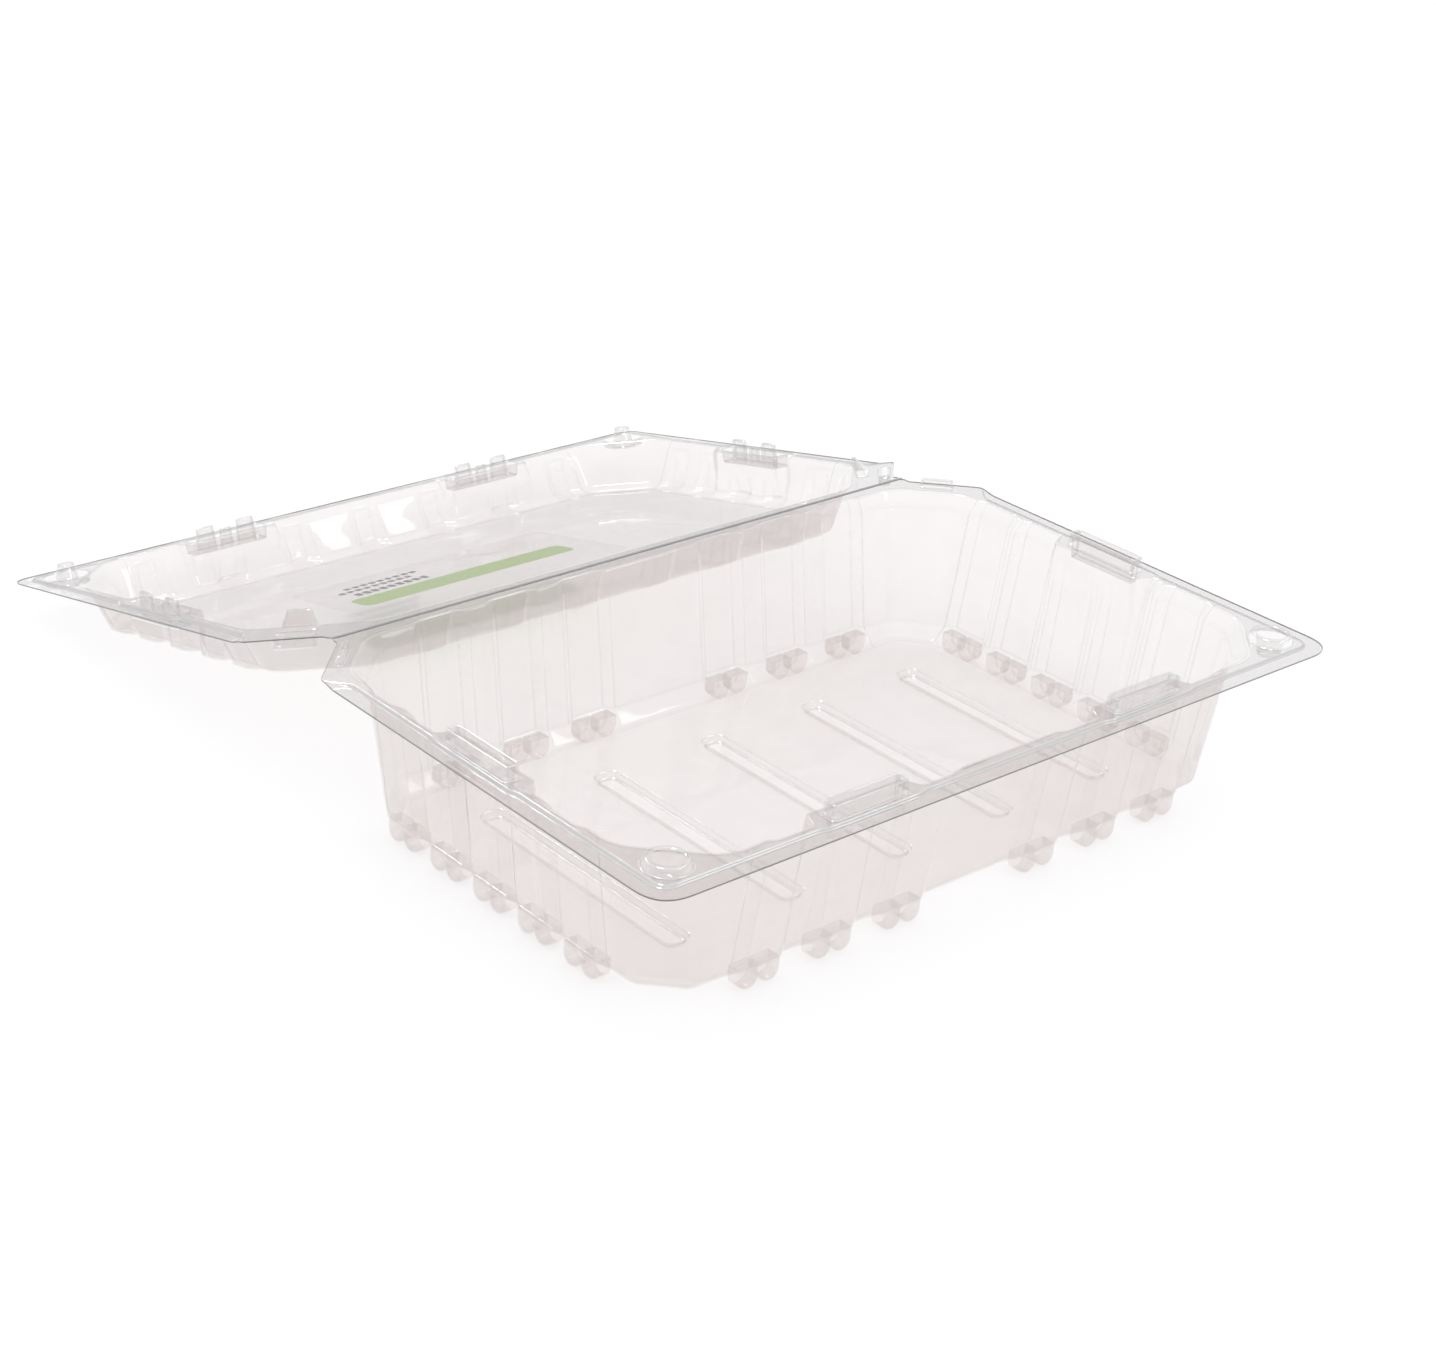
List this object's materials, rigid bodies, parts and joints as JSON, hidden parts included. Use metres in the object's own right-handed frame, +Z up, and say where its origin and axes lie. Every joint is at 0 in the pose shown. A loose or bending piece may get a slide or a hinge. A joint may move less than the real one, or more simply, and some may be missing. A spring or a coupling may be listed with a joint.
{
  "type": "hinged produce clamshell",
  "caption": "Clear thermoformed clamshell with a deep ribbed tray, a shallow ribbed lid, corner snaps and rim latches, open past flat on its living hinge.",
  "frame": {"origin": "on the table, under the middle of the open clamshell's bounding box", "axes": "+Z up, +X along the hinge line, the tray lies towards -Y and the lid towards +Y"},
  "size_m": [0.28, 0.3508, 0.0585],
  "materials": {
    "clear_sheet": "clear glossy thermoformed PET sheet",
    "label": "clear film label with a pale green printed bar"
  },
  "bodies": {
    "tray": {"closure_bar_front_left": "clear_sheet", "closure_bar_front_right": "clear_sheet", "closure_bar_left": "clear_sheet", "closure_bar_right": "clear_sheet", "feet_front": "clear_sheet", "feet_left": "clear_sheet", "feet_rear": "clear_sheet", "feet_right": "clear_sheet", "rear_bar_left": "clear_sheet", "rear_bar_right": "clear_sheet", "snap_socket_left": "clear_sheet", "snap_socket_right": "clear_sheet", "tray_floor": "clear_sheet", "tray_front_left_corner": "clear_sheet", "tray_front_left_web": "clear_sheet", "tray_front_right_corner": "clear_sheet", "tray_front_right_web": "clear_sheet", "tray_front_rim": "clear_sheet", "tray_front_wall": "clear_sheet", "tray_left_rim": "clear_sheet", "tray_left_wall": "clear_sheet", "tray_rear_left_corner": "clear_sheet", "tray_rear_left_web": "clear_sheet", "tray_rear_right_corner": "clear_sheet", "tray_rear_right_web": "clear_sheet", "tray_rear_rim": "clear_sheet", "tray_rear_wall": "clear_sheet", "tray_right_rim": "clear_sheet", "tray_right_wall": "clear_sheet", "living_hinge": "clear_sheet"},
    "lid": {"hinge_lug_left": "clear_sheet", "hinge_lug_right": "clear_sheet", "label": "label", "latch_left": "clear_sheet", "latch_outer_left": "clear_sheet", "latch_outer_right": "clear_sheet", "latch_right": "clear_sheet", "lid_hinge_left_corner": "clear_sheet", "lid_hinge_left_web": "clear_sheet", "lid_hinge_right_corner": "clear_sheet", "lid_hinge_right_web": "clear_sheet", "lid_hinge_rim": "clear_sheet", "lid_hinge_wall": "clear_sheet", "lid_left_rim": "clear_sheet", "lid_left_wall": "clear_sheet", "lid_outer_left_corner": "clear_sheet", "lid_outer_left_web": "clear_sheet", "lid_outer_right_corner": "clear_sheet", "lid_outer_right_web": "clear_sheet", "lid_outer_rim": "clear_sheet", "lid_outer_wall": "clear_sheet", "lid_panel": "clear_sheet", "lid_right_rim": "clear_sheet", "lid_right_wall": "clear_sheet", "snap_button_left": "clear_sheet", "snap_button_right": "clear_sheet"}
  },
  "joints": [
    {"name": "lid_hinge", "type": "hinge", "parent": "tray", "child": "lid", "pos_m": [0, 0.00255, 0.0542], "axis": [1, 0, 0], "range_deg": [0, 193.4]}
  ]
}
